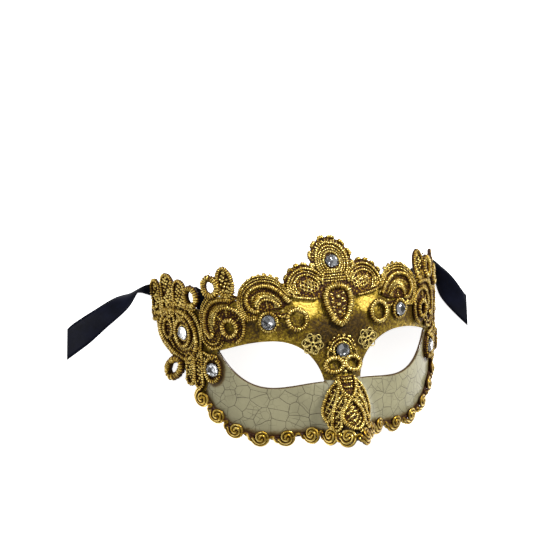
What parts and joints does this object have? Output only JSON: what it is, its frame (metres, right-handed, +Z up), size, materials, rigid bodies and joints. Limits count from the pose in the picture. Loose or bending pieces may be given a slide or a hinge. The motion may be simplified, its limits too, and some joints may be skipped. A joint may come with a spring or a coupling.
{
  "type": "half-face masquerade mask",
  "caption": "Half-face masquerade mask with eye holes, gilded lace scrolls, clear stones, crackled cheeks, rosette braid along the lower edge and satin ties, lying face up.",
  "frame": {"origin": "on the surface the mask lies on, under the middle of its own box, ties left out", "axes": "+X to the viewer's right, +Y towards the forehead, +Z up out of the face"},
  "size_m": [0.2555, 0.1181, 0.0751],
  "materials": {
    "shell_finish": "cream crackle glaze on the cheeks, antique gold leaf above, over moulded paper",
    "gilded_lace": "stiffened cotton lace gilded in antique gold, dark in its hollows",
    "gilded_braid": "gilded rosette braid",
    "filigree": "tarnished open filigree",
    "crystal": "clear faceted crystal on foil",
    "satin": "near-black navy satin ribbon"
  },
  "bodies": {
    "root": {"mask_shell": "shell_finish", "crest_lace": "gilded_lace", "brow_lace_left": "gilded_lace", "brow_lace_right": "gilded_lace", "scroll_lace_left": "gilded_lace", "scroll_lace_right": "gilded_lace", "temple_lace_left": "gilded_lace", "temple_lace_right": "gilded_lace", "bridge_lace": "gilded_lace", "nose_lace": "gilded_lace", "flower_left": "filigree", "flower_right": "filigree", "rhinestone_crest": "crystal", "rhinestone_bridge": "crystal", "rhinestone_brow_left": "crystal", "rhinestone_brow_right": "crystal", "rhinestone_loop_left": "crystal", "rhinestone_loop_right": "crystal", "rhinestone_temple_left": "crystal", "rhinestone_temple_right": "crystal", "rosette_braid": "gilded_braid", "ribbon_left": "satin", "ribbon_left_slack": "satin", "ribbon_left_lead": "satin", "ribbon_right": "satin", "ribbon_right_slack": "satin", "ribbon_right_lead": "satin"}
  },
  "joints": []
}
